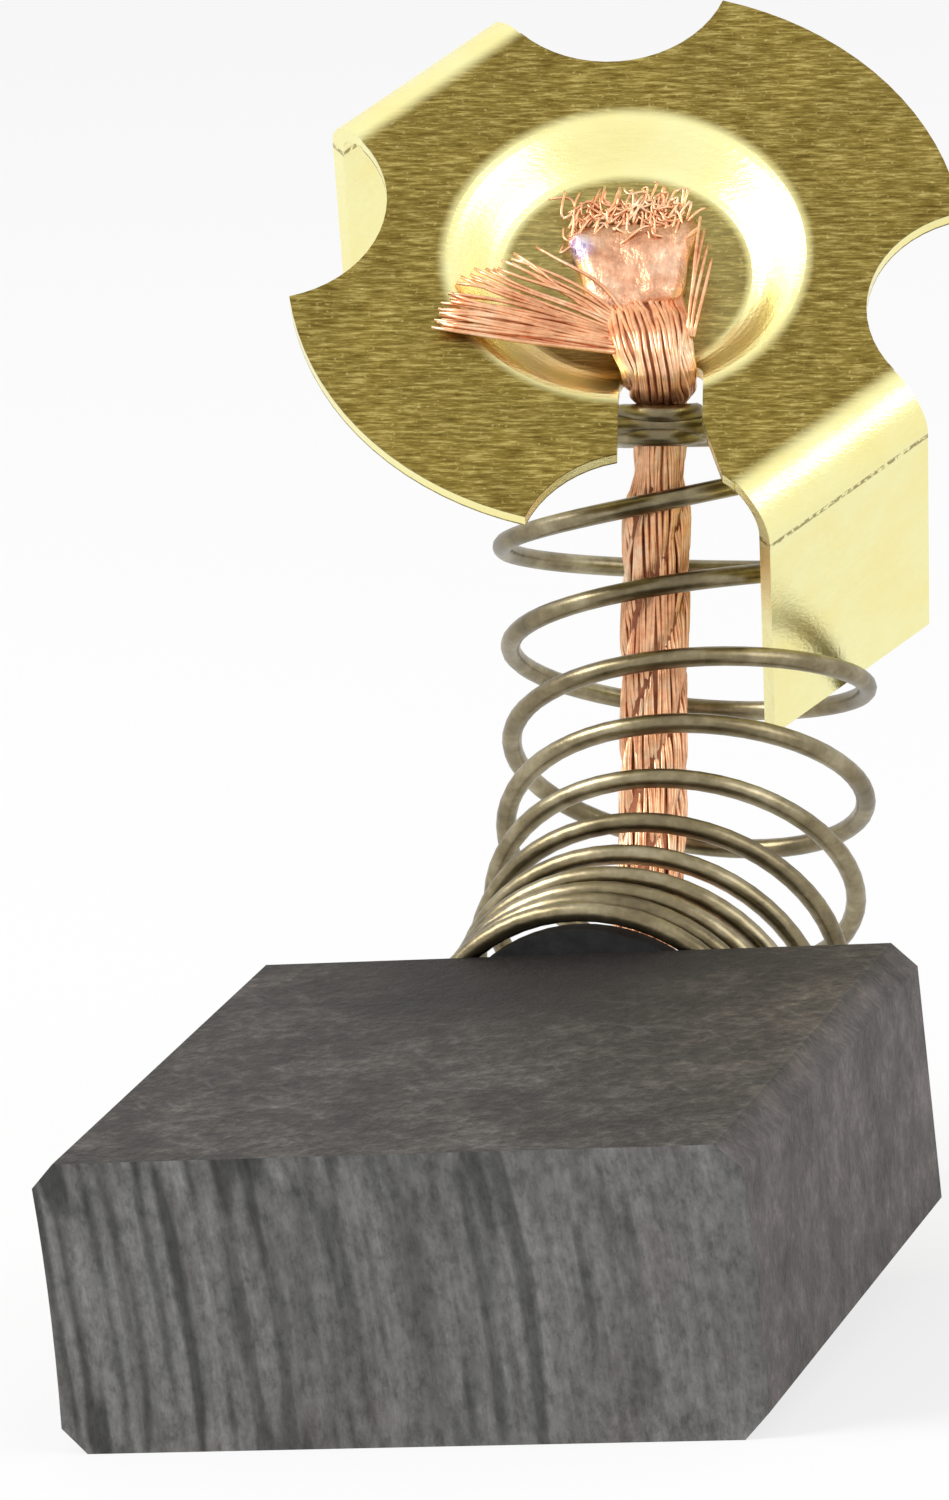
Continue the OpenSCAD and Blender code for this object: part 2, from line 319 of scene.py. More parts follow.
class Palette:
    """A material's node tree, with short calls for the nodes that the finishes share."""

    def __init__(self, name: str, roughness: float, metallic: float) -> None:
        """Starts a material with one principled shader.

        Args:
            name: the material's name.
            roughness: how dull it is.
            metallic: 1 for a metal, 0 otherwise.
        """
        self.material = bpy.data.materials.new(name)
        self.material.use_nodes = True
        self.tree = self.material.node_tree
        self.shader = self.tree.nodes["Principled BSDF"]
        self.shader.inputs["Roughness"].default_value = roughness
        self.shader.inputs["Metallic"].default_value = metallic

    def place(self, turn: Matrix, centre: Vector, stretch: Point) -> Socket:
        """Returns Object coordinates moved to a centre, turned and stretched.

        Args:
            turn: the rotation into the pattern's own frame.
            centre: the pattern's centre, in metres.
            stretch: how many times finer the pattern is along each axis.

        Returns:
            The vector's socket.
        """
        where = self.tree.nodes.new("ShaderNodeTexCoord")
        mapping = self.tree.nodes.new("ShaderNodeMapping")
        mapping.vector_type = "POINT"
        mapping.inputs["Rotation"].default_value = turn.to_euler("XYZ")
        mapping.inputs["Location"].default_value = -(turn @ centre)
        self.tree.links.new(where.outputs["Object"], mapping.inputs["Vector"])
        scale = self.tree.nodes.new("ShaderNodeVectorMath")
        scale.operation = "MULTIPLY"
        scale.inputs[1].default_value = stretch
        self.tree.links.new(mapping.outputs["Vector"], scale.inputs[0])
        return scale.outputs["Vector"]

    def noise(self, where: Socket, scale: float, detail: float = 4, rough: float = 0.6) -> Socket:
        """Returns a noise pattern's value."""
        node = self.tree.nodes.new("ShaderNodeTexNoise")
        node.inputs["Scale"].default_value = scale
        node.inputs["Detail"].default_value = detail
        node.inputs["Roughness"].default_value = rough
        self.tree.links.new(where, node.inputs["Vector"])
        return node.outputs["Fac"]

    def ramp(self, value: Socket, stops: Stops) -> Socket:
        """Returns the colour that a value has between stops."""
        node = self.tree.nodes.new("ShaderNodeValToRGB")
        while len(node.color_ramp.elements) < len(stops):
            node.color_ramp.elements.new(0.5)
        for element, (at, colour) in zip(node.color_ramp.elements, stops):
            element.position = at
            element.color = colour
        self.tree.links.new(value, node.inputs["Fac"])
        return node.outputs["Color"]

    def over(self, share: Given, below: Given, above: Given, how: Mixing = Mixing.OVER) -> Socket:
        """Returns one colour laid over another.

        Args:
            share: a socket or a number, how much of the upper one shows.
            below: a socket or a colour.
            above: a socket or a colour.
            how: the way of laying it.

        Returns:
            The colour's socket.
        """
        node = self.tree.nodes.new("ShaderNodeMix")
        node.data_type = "RGBA"
        node.blend_type = how.value
        inputs = [s for s in node.inputs if s.enabled]
        for socket, given in zip(inputs, (share, below, above)):
            if isinstance(given, Socket):
                self.tree.links.new(given, socket)
            else:
                socket.default_value = given
        return [s for s in node.outputs if s.enabled][0]

    def sum(self, operation: str, *values: Union[Socket, float]) -> Socket:
        """Returns the result of a math node on sockets or numbers."""
        node = self.tree.nodes.new("ShaderNodeMath")
        node.operation = operation
        for socket, given in zip(node.inputs, values):
            if isinstance(given, Socket):
                self.tree.links.new(given, socket)
            else:
                socket.default_value = given
        return node.outputs[0]

    def within(self, value: Socket, low: float, high: float) -> Socket:
        """Returns 0 below low and 1 above high, smooth between."""
        node = self.tree.nodes.new("ShaderNodeMapRange")
        node.interpolation_type = "SMOOTHSTEP"
        node.inputs["From Min"].default_value = low
        node.inputs["From Max"].default_value = high
        self.tree.links.new(value, node.inputs["Value"])
        return node.outputs["Result"]

    def split(self, where: Socket) -> List[Socket]:
        """Returns a vector's three values."""
        node = self.tree.nodes.new("ShaderNodeSeparateXYZ")
        self.tree.links.new(where, node.inputs[0])
        return list(node.outputs)

    def length(self, where: Socket) -> Socket:
        """Returns a vector's length."""
        node = self.tree.nodes.new("ShaderNodeVectorMath")
        node.operation = "LENGTH"
        self.tree.links.new(where, node.inputs[0])
        return node.outputs["Value"]

    def colour(self, value: Socket) -> None:
        """Sets the shader's colour."""
        self.tree.links.new(value, self.shader.inputs["Base Color"])

    def roughness(self, value: Socket, low: float, high: float) -> None:
        """Sets the shader's roughness from a value between 0 and 1."""
        node = self.tree.nodes.new("ShaderNodeMapRange")
        node.inputs["To Min"].default_value = low
        node.inputs["To Max"].default_value = high
        self.tree.links.new(value, node.inputs["Value"])
        self.tree.links.new(node.outputs["Result"], self.shader.inputs["Roughness"])

    def bump(self, height: Socket, depth: float, strength: float = 1.0) -> None:
        """Sets the shader's bump, with its depth in metres."""
        node = self.tree.nodes.new("ShaderNodeBump")
        node.inputs["Strength"].default_value = strength
        node.inputs["Distance"].default_value = depth
        self.tree.links.new(height, node.inputs["Height"])
        self.tree.links.new(node.outputs["Normal"], self.shader.inputs["Normal"])


@dataclass(frozen=True)
class CarbonFinish:
    """Pressed carbon: a mottled, grainy dark grey."""

    brush: Brush
    dark: Colour = (0.018, 0.015, 0.013, 1)
    middle: Colour = (0.042, 0.036, 0.031, 1)
    light: Colour = (0.095, 0.083, 0.074, 1)
    # side-face tones and gain: painted light, the side face made lighter than the top as if lit more
    side_dark: Colour = (0.060, 0.055, 0.055, 1)
    side_light: Colour = (0.165, 0.152, 0.152, 1)
    side_painted_light_gain: Colour = (2.3, 2.15, 2.2, 1)
    olive_tint: Colour = (0.93, 0.88, 0.74, 1)
    shadow: Colour = (0.006, 0.004, 0.003, 1)

    def frame_turn(self) -> Matrix:
        """Returns the rotation from the lying brush to the level block."""
        return Matrix.Rotation(-self.brush.slope, 3, "X")

    def make(self) -> bpy.types.Material:
        """Returns the finish of the block's pressed faces, darker towards the spring on the upper one."""
        p = Palette("pressed_carbon", 0.62, 0.0)
        turn = self.frame_turn()
        where = p.place(turn, ORIGIN, EVEN)
        cloud = p.noise(where, 480, 7, 0.78)
        grain = p.noise(where, 2700, 3, 0.75)
        base = p.ramp(cloud, [(0.34, self.dark), (0.5, self.middle), (0.66, self.light)])
        speck = p.ramp(grain, [(0.32, grey(0.3)), (0.5, grey(0.9)), (0.68, grey(1.9))])
        base = p.over(0.85, base, speck, Mixing.SHADE)
        crossed = (((0.3, 1.8, 1), 20, 1500), ((1.8, 0.3, 1), -35, 1300))
        for stretch, angle, scale in crossed:
            slanted = Matrix.Rotation(math.radians(angle), 3, "Z") @ turn
            scratch = p.noise(p.place(slanted, ORIGIN, stretch), scale, 3, 0.7)
            base = p.over(0.8, base, p.ramp(scratch, [(0.6, grey(0.0)), (0.74, grey(0.06))]), Mixing.GLOW)
        x, y, z = p.split(where)
        upper = p.within(z, 6.2 * MM, 6.9 * MM)
        # painted light: the side face is brightened over its grain, as it catches more light than the top
        side = p.within(x, 7.7 * MM, 8.3 * MM)
        olive = p.within(p.sum("ADD", x, y), -0.004, 0.011)
        tint = p.over(p.sum("MULTIPLY", upper, olive), grey(1.0), self.olive_tint)
        base = p.over(1.0, base, tint, Mixing.SHADE)
        calm = p.ramp(cloud, [(0.36, self.side_dark), (0.64, self.side_light)])
        base = p.over(side, base, p.over(0.6, p.over(1.0, base, self.side_painted_light_gain, Mixing.SHADE), calm))
        # painted shadow: the top face darkens in front of the washer, where the spring shades it
        washer_top = Vector((-0.4, self.brush.block_l / 2 + 0.6, self.brush.block_t))
        foot = p.place(turn, self.brush.placed(washer_top), (1, 0.8, 1))
        near = p.within(p.length(foot), 9.0 * MM, 2.5 * MM)
        base = p.over(p.sum("MULTIPLY", near, 0.9), base, self.shadow)
        p.colour(base)
        p.roughness(grain, 0.55, 0.8)
        p.shader.inputs["Specular IOR Level"].default_value = 0.3
        p.bump(p.sum("ADD", grain, p.sum("MULTIPLY", cloud, 0.8)), 0.00010, 0.8)
        return p.material

    def make_worn(self) -> bpy.types.Material:
        """Returns the finish of the contact face, striated across its thickness."""
        p = Palette("worn_carbon", 0.5, 0.0)
        slant = Matrix.Rotation(math.radians(3.5), 3, "Y") @ self.frame_turn()
        wide = p.noise(p.place(slant, ORIGIN, (1, 1, 0.05)), 330, 5, 0.65)
        bands = p.noise(p.place(slant, Vector((0.011, 0, 0)), (1, 1, 0.03)), 1900, 5, 0.75)
        grooves = p.noise(p.place(slant, Vector((0.003, 0, 0)), (1, 1, 0.02)), 1500, 1.5, 0.5)
        closer = p.noise(p.place(slant, Vector((0.007, 0, 0)), (1, 1, 0.015)), 2300, 1, 0.5)
        broken = p.noise(p.place(slant, Vector((0.02, 0, 0)), (1, 1, 0.5)), 420, 4, 0.6)
        grain = p.noise(p.place(slant, ORIGIN, (1, 1, 0.6)), 3400, 3, 0.75)
        greys = [
            (0.30, (0.090, 0.089, 0.087, 1)),
            (0.45, (0.122, 0.120, 0.117, 1)),
            (0.58, (0.154, 0.152, 0.149, 1)),
            (0.72, (0.200, 0.201, 0.195, 1)),
        ]
        base = p.ramp(bands, greys)
        base = p.over(0.8, base, p.ramp(wide, [(0.34, grey(0.78)), (0.66, grey(1.22))]), Mixing.SHADE)
        cut = p.ramp(grooves, [(0.32, grey(0.42)), (0.38, grey(0.7)), (0.43, grey(1.0))])
        base = p.over(p.within(broken, 0.3, 0.56), base, p.over(1.0, base, cut, Mixing.SHADE))
        depths = [(0.36, grey(0.38)), (0.43, grey(0.66)), (0.49, grey(1.0)), (0.62, grey(1.18))]
        lines = p.ramp(closer, depths)
        left = p.within(p.split(p.place(slant, ORIGIN, EVEN))[0], 2.5 * MM, -4.5 * MM)
        base = p.over(left, base, p.over(1.0, base, lines, Mixing.SHADE))
        tone = p.ramp(broken, [(0.3, (0.84, 0.78, 0.77, 1)), (0.5, grey(0.98)), (0.7, grey(1.25))])
        base = p.over(0.9, base, tone, Mixing.SHADE)
        speck = p.ramp(grain, [(0.3, grey(0.5)), (0.5, grey(1.0)), (0.72, grey(1.45))])
        p.colour(p.over(0.85, base, speck, Mixing.SHADE))
        p.roughness(grain, 0.5, 0.7)
        p.shader.inputs["Specular IOR Level"].default_value = 0.35
        p.bump(p.sum("ADD", bands, grain), 0.00007, 0.7)
        return p.material


@dataclass(frozen=True)
class CopperFinish:
    """Bare copper wire with a salmon sheen, and dark copper painted as the shade inside the rope."""

    deep: Colour = (0.66, 0.27, 0.13, 1)
    middle: Colour = (0.97, 0.54, 0.30, 1)
    bright: Colour = (1.0, 0.78, 0.54, 1)

    def make(self) -> bpy.types.Material:
        """Returns the finish of the rope's wires."""
        p = Palette("bare_copper", 0.34, 0.8)
        where = p.place(UNTURNED, ORIGIN, EVEN)
        cloud = p.noise(where, 900, 4, 0.65)
        fine = p.noise(where, 5200, 3, 0.6)
        tone = p.ramp(cloud, [(0.28, self.deep), (0.5, self.middle), (0.72, self.bright)])
        p.colour(p.over(0.5, tone, p.ramp(fine, [(0.3, grey(0.65)), (0.65, grey(1.1))]), Mixing.SHADE))
        p.roughness(cloud, 0.26, 0.42)
        p.bump(fine, 0.00002, 0.5)
        return p.material

    def make_painted_shade_core(self) -> bpy.types.Material:
        """Returns the dark copper painted as shade inside the rope."""
        p = Palette("painted_shade_copper", 0.6, 1.0)
        where = p.place(UNTURNED, ORIGIN, EVEN)
        fine = p.noise(where, 2400, 3, 0.6)
        p.colour(p.ramp(fine, [(0.3, (0.22, 0.07, 0.035, 1)), (0.7, (0.48, 0.20, 0.11, 1))]))
        return p.material

    def make_weld(self, seat: CapSeat) -> bpy.types.Material:
        """Returns the pressed and welded copper, with a blue heat tint and a painted whitish highlight at one
        corner.
        """
        p = Palette("welded_copper", 0.42, 1.0)
        turn = seat.pattern_turn()
        middle = seat.brush.placed(seat.at(0.1, 0.1, -seat.brush.dish_depth))
        where = p.place(turn, middle, EVEN)
        cloud = p.noise(where, 1100, 5, 0.7)
        weave = p.noise(p.place(turn, middle, (0.3, 1, 1)), 5200, 2, 0.6)
        pressed = [(0.3, (0.60, 0.26, 0.14, 1)), (0.5, (0.86, 0.47, 0.29, 1)), (0.7, (0.97, 0.68, 0.48, 1))]
        tone = p.ramp(cloud, pressed)
        tone = p.over(0.6, tone, p.ramp(weave, [(0.3, grey(0.6)), (0.65, grey(1.1))]), Mixing.SHADE)
        upper = p.within(p.split(where)[0], -0.3 * MM, -1.5 * MM)
        burnt = p.over(p.within(cloud, 0.45, 0.6), (0.30, 0.20, 0.08, 1), (0.62, 0.40, 0.20, 1))
        tone = p.over(p.sum("MULTIPLY", upper, 0.7), tone, burnt)
        # blue heat tint mixed with whitish lavender; the whitish part is a painted highlight
        corner = seat.brush.placed(seat.at(-1.2, 0.55, -seat.brush.dish_depth))
        ring = p.within(p.length(p.place(turn, corner, (1, 1, 0))), 0.55 * MM, 0.1 * MM)
        tint = p.over(p.within(cloud, 0.42, 0.58), (0.25, 0.24, 0.62, 1), (0.86, 0.84, 0.96, 1))
        p.colour(p.over(p.sum("MULTIPLY", ring, 0.75), tone, tint))
        p.bump(p.sum("ADD", cloud, p.sum("MULTIPLY", weave, 0.5)), 0.00012, 0.8)
        return p.material


@dataclass(frozen=True)
class SpringFinish:
    """Drawn spring wire with a dull bronze tint."""

    dark: Colour = (0.13, 0.105, 0.060, 1)
    middle: Colour = (0.25, 0.205, 0.118, 1)
    bright: Colour = (0.45, 0.39, 0.255, 1)

    def make(self) -> bpy.types.Material:
        """Returns the wire's finish."""
        p = Palette("drawn_wire", 0.34, 1.0)
        where = p.place(UNTURNED, ORIGIN, EVEN)
        cloud = p.noise(where, 420, 5, 0.7)
        fine = p.noise(p.place(UNTURNED, ORIGIN, (0.4, 0.4, 1)), 3800, 3, 0.6)
        tone = p.ramp(cloud, [(0.3, self.dark), (0.5, self.middle), (0.7, self.bright)])
        p.colour(p.over(0.5, tone, p.ramp(fine, [(0.3, grey(0.6)), (0.65, grey(1.15))]), Mixing.SHADE))
        p.roughness(fine, 0.24, 0.42)
        p.bump(fine, 0.00002, 0.5)
        return p.material


@dataclass(frozen=True)
class BrassFinish:
    """Brass sheet with brushed streaks, its flats and dish floor painted dark and its dish slope, folds and
    cut edge painted bright, as the reflections they show.
    """

    seat: CapSeat
    dish_r: float = 4.7
    fold_from: float = 7.0
    floor_r: float = 3.0
    bend_r: float = 1.3
    flat_dark: Colour = (0.110, 0.072, 0.012, 1)
    flat_middle: Colour = (0.245, 0.178, 0.038, 1)
    flat_light: Colour = (0.560, 0.450, 0.150, 1)
    bright: Colour = (1.0, 0.96, 0.50, 1)

    def make(self) -> bpy.types.Material:
        """Returns the cap's finish."""
        p = Palette("brass_sheet", 0.3, 1.0)
        turn = self.seat.pattern_turn()
        middle = self.seat.brush.placed(self.seat.at(0, 0, 0))
        leg_turn = Matrix.Rotation(math.radians(self.seat.slot_angle), 3, "Z") @ turn
        streak = p.noise(p.place(turn, middle, (1, 0.12, 1)), 10500, 3, 0.75)
        speck = p.noise(p.place(turn, middle, EVEN), 6800, 2, 0.6)
        cloud = p.noise(p.place(turn, middle, EVEN), 420, 4, 0.6)
        # painted reflection: the flats are dark olive, as they reflect the dark above them; the fine streaks
        # are the brushing
        flat = p.ramp(streak, [(0.3, self.flat_dark), (0.5, self.flat_middle), (0.72, self.flat_light)])
        flat = p.over(0.6, flat, p.ramp(cloud, [(0.3, grey(0.75)), (0.7, grey(1.25))]), Mixing.SHADE)
        glint = p.ramp(speck, [(0.62, grey(0.0)), (0.72, (0.30, 0.25, 0.10, 1))])
        flat = p.over(0.8, flat, glint, Mixing.GLOW)
        x, y, z = p.split(p.place(leg_turn, middle, EVEN))
        # painted reflection: the dish's slope painted bright, its floor left dark like the flats it lies
        # parallel to
        radius = p.sum("SQRT", p.sum("ADD", p.sum("MULTIPLY", x, x), p.sum("MULTIPLY", y, y)))
        dish = p.within(radius, (self.dish_r + 0.1) * MM, (self.dish_r - 0.3) * MM)
        floor = p.within(radius, (self.floor_r + 0.25) * MM, (self.floor_r - 0.05) * MM)
        dish = p.sum("SUBTRACT", dish, p.sum("MULTIPLY", floor, 0.88))
        # painted reflection: the folds and the sheet's cut edge painted bright as well
        fold = p.within(p.sum("ABSOLUTE", x), self.fold_from * MM, (self.fold_from + 0.5) * MM)
        cut = p.sum("MULTIPLY", p.within(z, -0.00003, -0.00007), p.within(z, -0.00037, -0.00033))
        painted_reflection = p.sum("MAXIMUM", p.sum("MAXIMUM", dish, fold), cut)
        # the colour of the painted bright reflection, lightly streaked
        soft = p.ramp(cloud, [(0.3, (1.0, 0.89, 0.38, 1)), (0.7, self.bright)])
        soft = p.over(0.12, soft, p.ramp(streak, [(0.3, grey(0.75)), (0.7, grey(1.1))]), Mixing.SHADE)
        # painted shade: a thin, broken dark line in the crease at the end of each fold
        line = p.sum("ABSOLUTE", p.sum("ADD", z, self.bend_r * MM + 0.00012))
        crease_shade = p.sum("MULTIPLY", p.within(line, 0.00012, 0.00004), p.within(speck, 0.38, 0.52))
        soft = p.over(p.sum("MULTIPLY", crease_shade, 0.8), soft, (0.20, 0.14, 0.03, 1))
        p.colour(p.over(painted_reflection, flat, soft))
        p.roughness(p.sum("SUBTRACT", 1.0, painted_reflection), 0.24, 0.38)
        p.bump(streak, 0.00003, 0.5)
        return p.material


@dataclass(frozen=True)
class WasherFinish:
    """A near-black, grainy finish for the washer."""

    def make(self) -> bpy.types.Material:
        """Returns the washer's finish."""
        p = Palette("near_black_washer", 0.55, 0.0)
        where = p.place(UNTURNED, ORIGIN, EVEN)
        grain = p.noise(where, 1800, 4, 0.7)
        p.colour(p.ramp(grain, [(0.3, grey(0.004)), (0.7, grey(0.02))]))
        p.roughness(grain, 0.4, 0.65)
        p.bump(grain, 0.00003, 0.5)
        return p.material


# ---- Carbon block ----


@dataclass
class CarbonBlock:
    """The carbon block, with the sharpness taken off its edges."""

    brush: Brush
    edge_round: float = 0.14
    sharp_from: float = 12.0

    def build(self, pressed: bpy.types.Material, worn: bpy.types.Material) -> bpy.types.Object:
        """Builds the block from the solid one, whose edges are sharp.

        Args:
            pressed: the finish of its pressed faces.
            worn: the finish of its contact face.

        Returns:
            The piece.
        """
        bm = bmesh.new()
        bm.from_mesh(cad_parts["carbon_block"].data)
        bmesh.ops.remove_doubles(bm, verts=bm.verts, dist=1e-7)
        bmesh.ops.dissolve_limit(bm, angle_limit=math.radians(0.4), verts=bm.verts, edges=bm.edges)
        bmesh.ops.recalc_face_normals(bm, faces=bm.faces)
        sharp = [
            e for e in bm.edges
            if len(e.link_faces) == 2 and e.calc_face_angle(0.0) > math.radians(self.sharp_from)
        ]
        bmesh.ops.bevel(
            bm, geom=sharp, offset=self.edge_round * MM, offset_type="OFFSET", segments=3, profile=0.5,
            affect="EDGES", material=-1, clamp_overlap=True,
        )
        front = self.brush.turned(Vector((0, -1, 0)))
        for f in bm.faces:
            f.material_index = 1 if f.normal.dot(front) > 0.9 else 0
        return finish_piece("worn_block", [bm], [pressed, worn], smooth=False)


# ---- Coil spring ----


@dataclass
class CoilSpring:
    """The bent coil spring, whose last small turns grip the rope."""

    brush: Brush
    route: Bezier
    first_turn: float = -0.3
    shrink_from: float = 10.15
    shrink_to: float = 11.7
    last_turn: float = 13.2
    grip_lean: Vector = Vector((0, 0.14, 0))
    rings_per_turn: int = 56
    sides: int = 12
    axis: Bezier = Bezier(
        (Vector((0, 0, 0)), Vector((0, 3.8, 0)), Vector((0.2, 13.5, 1.1)), Vector((-0.7, 15.2, 12.45)))
    )
    steps: List[Tuple[float, float]] = field(default_factory=list)

    def __post_init__(self) -> None:
        """Measures the bent axis."""
        self.steps = self.axis.lengths()

    def share_at(self, distance: float) -> float:
        """Returns the curve's value at a distance along it."""
        if distance >= self.steps[-1][0]:
            return 1.0
        for (a, ta), (b, tb) in zip(self.steps, self.steps[1:]):
            if distance <= b:
                return mix(ta, tb, (distance - a) / (b - a))
        return 1.0

    def axis_point(self, distance: float) -> Vector:
        """Returns the axis's point at a distance, straight on past its end."""
        past = max(0.0, distance - self.steps[-1][0])
        return self.axis.at(self.share_at(distance)) + past * self.axis.direction(1)

    def grip_direction(self) -> Vector:
        """Returns the direction of the small turns' axis, which leans back a little."""
        return (self.route.direction(1) + self.grip_lean).normalized()

    def shrink(self, turn: float) -> float:
        """Returns how far the turns have shrunk towards the grip, from 0 to 1."""
        return ease((turn - self.shrink_from) / (self.shrink_to - self.shrink_from))

    def centre(self, turn: float) -> Vector:
        """Returns the middle of a turn, from the block's back face."""
        pitch = self.brush.wire_d + 3 * self.brush.snug
        middle_turn = (self.shrink_to + self.last_turn) / 2
        along = (max(turn, self.shrink_to) - middle_turn) * pitch
        grip = self.route.at(1) + along * self.grip_direction()
        on_axis = self.axis_point(self.brush.turn_distance(min(turn, self.shrink_to)))
        return on_axis.lerp(grip, self.shrink(turn))

    def direction(self, turn: float) -> Vector:
        """Returns the direction of the axis at a turn."""
        bent = self.axis.direction(self.share_at(self.brush.turn_distance(turn)))
        return bent.lerp(self.grip_direction(), self.shrink(turn)).normalized()

    def wire_at(self, turn: float) -> Vector:
        """Returns a point on the middle of the wire."""
        ahead = self.direction(turn)
        side = side_of(ahead)
        angle = math.radians(90 - 360 * turn)
        grip_r = self.brush.waist_d / 2 + self.brush.wire_d / 2 + 5 * self.brush.snug
        radius = mix(self.brush.coil_r, grip_r, self.shrink(turn))
        out = math.cos(angle) * side + math.sin(angle) * side.cross(ahead)
        return self.brush.back + self.centre(turn) + radius * out

    def build(self, material: bpy.types.Material) -> bpy.types.Object:
        """Returns the spring's piece."""
        count = round((self.last_turn - self.first_turn) * self.rings_per_turn)
        stations = []
        for i in range(count + 1):
            turn = mix(self.first_turn, self.last_turn, i / count)
            point = self.wire_at(turn)
            ahead = (self.wire_at(turn + 0.005) - self.wire_at(turn - 0.005)).normalized()
            out = (point - self.brush.back - self.centre(turn)).normalized()
            across = ahead.cross(out).normalized()
            out = across.cross(ahead)
            radius = self.brush.wire_d / 2
            stations.append(lying_section(self.brush, point, out, across, radius, radius))
        return finish_piece("wire_spring", [sweep(stations, self.sides)], [material])


# ---- Pigtail ----


@dataclass(frozen=True)
class Station:
    """One place along the rope: its middle, its directions and its half sizes."""

    middle: Vector
    side: Vector
    upper: Vector
    half_width: float
    half_height: float
    travelled: float
    roundness: float


@dataclass
class Pigtail:
    """The stranded copper rope, spread out and welded in the cap's dish."""

    brush: Brush
    seat: CapSeat
    route: Bezier
    bundles: int = 4
    lay: float = 10.0
    groove: float = 0.13
    wires: int = 54
    wire_r: float = 0.062
    wire_sides: int = 6
    core_sides: int = 24
    hole_stations: int = 12
    route_steps: int = 96
    spread_steps: int = 4
    first_visible: int = 10
    strand_steps: int = 10
    bundle_wires: int = 30
    fan_wires: int = 15
    fringe_wires: int = 150
    long_wires: int = 4
    seed: int = 7
    stations: List[Station] = field(default_factory=list)

    def rope_half(self, share: float) -> float:
        """Returns the rope's radius at a share of its route, with its waist in the grip."""
        squeezed = ease((share - 0.905) / 0.05)
        return mix(self.brush.rope_d, self.brush.waist_d, squeezed) / 2

    def lay_out(self) -> None:
        """Works out the stations from the bottom of the hole to the weld."""
        b = self.brush
        x, z = Vector((1, 0, 0)), Vector((0, 0, 1))
        rows: List[Tuple[Vector, Vector, Vector, float, float, float]] = []
        for i in range(self.hole_stations):
            y = mix(-b.seat_depth + 3 * b.snug, -0.4, i / (self.hole_stations - 1))
            rows.append((b.back + Vector((0, y, 0)), x, z, b.rope_d / 2, b.rope_d / 2, 1.0))
        for i in range(self.route_steps + 1):
            share = i / self.route_steps
            ahead = self.route.direction(share)
            side = side_of(ahead)
            half = self.rope_half(share)
            rows.append((b.back + self.route.at(share), side, side.cross(ahead), half, half, 1.0))
        across, along, out = self.seat.across(), self.seat.along(), self.seat.out()
        for x_on, y_on, above, wide, thick, rise in self.spread_rows():
            angle = math.radians(rise)
            upper = math.cos(angle) * out - math.sin(angle) * along
            rows.append((self.seat.at(x_on, y_on, above), across, upper, wide, thick, ease(-y_on / 3.5)))
        travelled = 0.0
        for i, row in enumerate(rows):
            if i:
                travelled += (row[0] - rows[i - 1][0]).length
            self.stations.append(Station(row[0], row[1], row[2], row[3], row[4], travelled, row[5]))

    def spread_rows(self) -> List[Tuple[float, float, float, float, float, float]]:
        """Returns the rope's bend over the slot and its spread on the dish's floor.

        Returns:
            Rows of place on the disc and above it, half width, half height and angle of rise.
        """
        knots = [
            (0.9, -3.36, -1.98, 0.7, 0.7, 46.0),
            (0.91, -3.22, -1.82, 0.7, 0.68, 52.0),
            (0.9, -3.18, -1.52, 0.88, 0.6, 78.0),
            (0.9, -3.3, -1.12, 0.97, 0.54, 96.0),
            (0.9, -3.4, -0.7, 0.98, 0.54, 88.0),
            (0.86, -3.34, -0.36, 1.0, 0.5, 58.0),
            (0.74, -3.05, -0.12, 1.06, 0.44, 24.0),
            (0.67, -2.7, -0.1, 1.1, 0.43, -12.0),
            (0.61, -2.3, -0.24, 1.12, 0.4, -20.0),
            (0.54, -1.75, -0.42, 1.14, 0.36, -16.0),
            (0.45, -1.25, -0.64, 1.14, 0.22, -6.0),
            (0.3, -0.5, -0.74, 1.1, 0.12, 0.0),
            (0.2, 0.2, -0.76, 1.1, 0.11, 0.0),
        ]
        rows = []
        for a, b in zip(knots, knots[1:]):
            for i in range(1, self.spread_steps + 1):
                rows.append(tuple(mix(p, q, i / self.spread_steps) for p, q in zip(a, b)))
        return rows

    def lobe(self, angle: float, station: Station) -> float:
        """Returns how far out the surface stands at an angle, low between two bundles."""
        twist = 2 * math.pi * station.travelled / self.lay
        dip = abs(math.cos(self.bundles * (angle + twist) / 2)) ** 9
        return 1 - self.groove * dip * station.roundness

    def point(self, station: Station, angle: float, depth: float) -> Vector:
        """Returns a point of the rope at an angle round it and a depth below its surface."""
        reach = self.lobe(angle, station)
        x = math.cos(angle) * (station.half_width * reach - depth)
        y = math.sin(angle) * (station.half_height * reach - depth)
        return station.middle + x * station.side + y * station.upper

    def tube(self, path: Sequence[Vector], radii: Sequence[float]) -> bmesh.types.BMesh:
        """Returns a round wire along a path of the level brush, in millimetres."""
        stations = []
        side = None
        for i, point in enumerate(path):
            ahead = (path[min(i + 1, len(path) - 1)] - path[max(i - 1, 0)]).normalized()
            if side is None:
                side = ahead.orthogonal().normalized()
            side = (side - ahead * side.dot(ahead)).normalized()
            upper = ahead.cross(side)
            stations.append(lying_section(self.brush, point, side, upper, radii[i], radii[i]))
        return sweep(stations, self.wire_sides)

